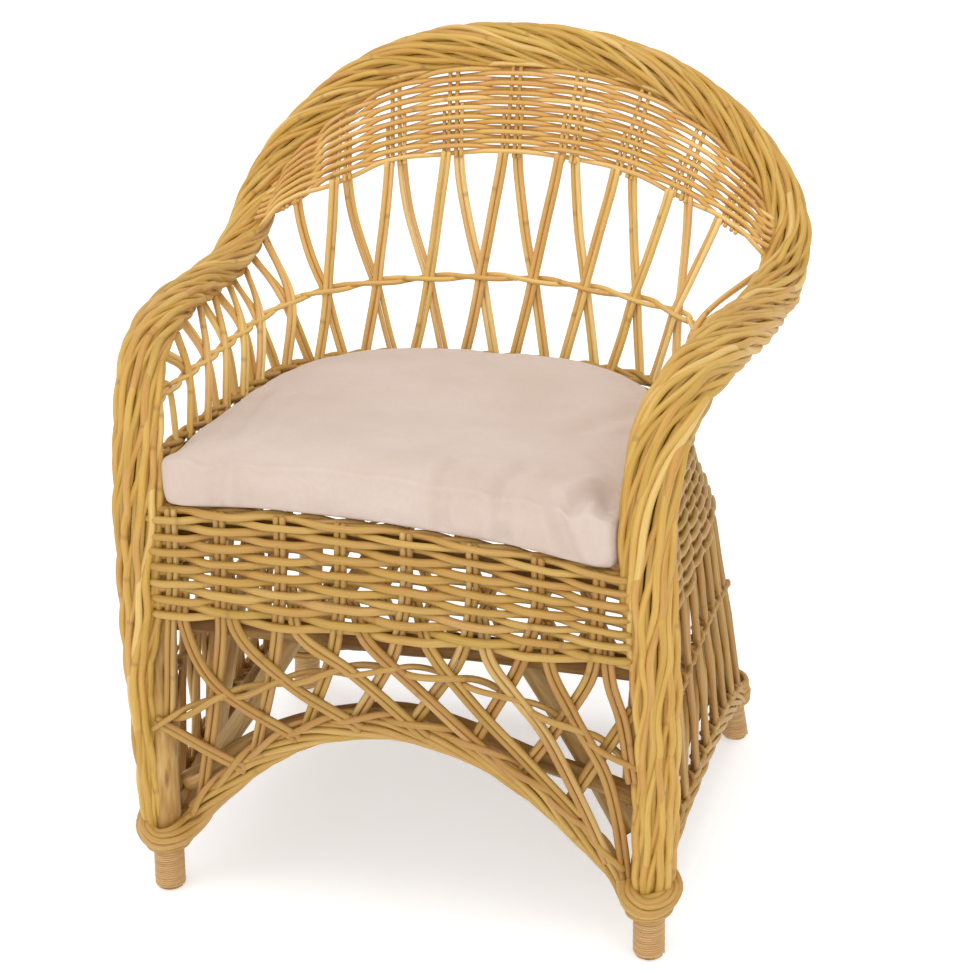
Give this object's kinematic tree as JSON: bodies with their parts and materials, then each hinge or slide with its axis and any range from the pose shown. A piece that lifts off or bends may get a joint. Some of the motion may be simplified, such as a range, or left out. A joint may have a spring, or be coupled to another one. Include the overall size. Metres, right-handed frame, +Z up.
{
  "type": "wicker armchair",
  "caption": "Full-size woven willow tub armchair: straight legs, braided rolled rim over arms and back, open lattice sides, arched skirt and a loose seat cushion.",
  "frame": {"origin": "bottom centre of the bounding box, on the floor between the feet", "axes": "+Z up, the open front of the seat faces -Y, +X towards the right arm as seen from the front"},
  "size_m": [0.7022, 0.5929, 0.8608],
  "materials": {
    "pole": "satin peeled pole",
    "cane": "satin cane binding",
    "willow": "semi-gloss peeled willow rods",
    "fabric": "matt plain-weave cotton cover"
  },
  "bodies": {
    "chair": {"front_left_leg": "pole", "front_right_leg": "pole", "back_left_leg": "pole", "back_right_leg": "pole", "arm_and_back_hoop": "pole", "front_seat_rail": "pole", "back_seat_rail": "pole", "left_seat_rail": "pole", "right_seat_rail": "pole", "front_seat_bearer": "pole", "back_seat_bearer": "pole", "front_lower_rail": "pole", "back_lower_rail": "pole", "front_arch_pole": "pole", "back_bottom_pole": "pole", "left_bottom_pole": "pole", "right_bottom_pole": "pole", "front_left_brace": "pole", "front_right_brace": "pole", "left_side_brace": "pole", "right_side_brace": "pole", "back_left_brace": "pole", "back_right_brace": "pole", "front_left_foot_binding": "cane", "front_right_foot_binding": "cane", "back_left_foot_binding": "cane", "back_right_foot_binding": "cane", "left_arm_rim": "willow", "back_rim": "willow", "right_arm_rim": "willow", "front_left_ankle_wrap": "willow", "front_right_ankle_wrap": "willow", "back_left_ankle_wrap": "willow", "back_right_ankle_wrap": "willow", "seat_deck": "willow", "front_apron": "willow", "left_apron": "willow", "right_apron": "willow", "back_apron": "willow", "front_bottom_border": "willow", "left_bottom_border": "willow", "right_bottom_border": "willow", "back_bottom_border": "willow", "front_skirt_lattice": "willow", "left_skirt_lattice": "willow", "right_skirt_lattice": "willow", "back_skirt_lattice": "willow", "back_band": "willow", "back_lattice": "willow", "left_arm_lattice": "willow", "right_arm_lattice": "willow"},
    "cushion": {"seat_cushion": "fabric"}
  },
  "joints": [
    {"name": "cushion_lift", "type": "slide", "parent": "chair", "child": "cushion", "axis": [0, 0, 1], "range_m": [0, 0.45]}
  ]
}
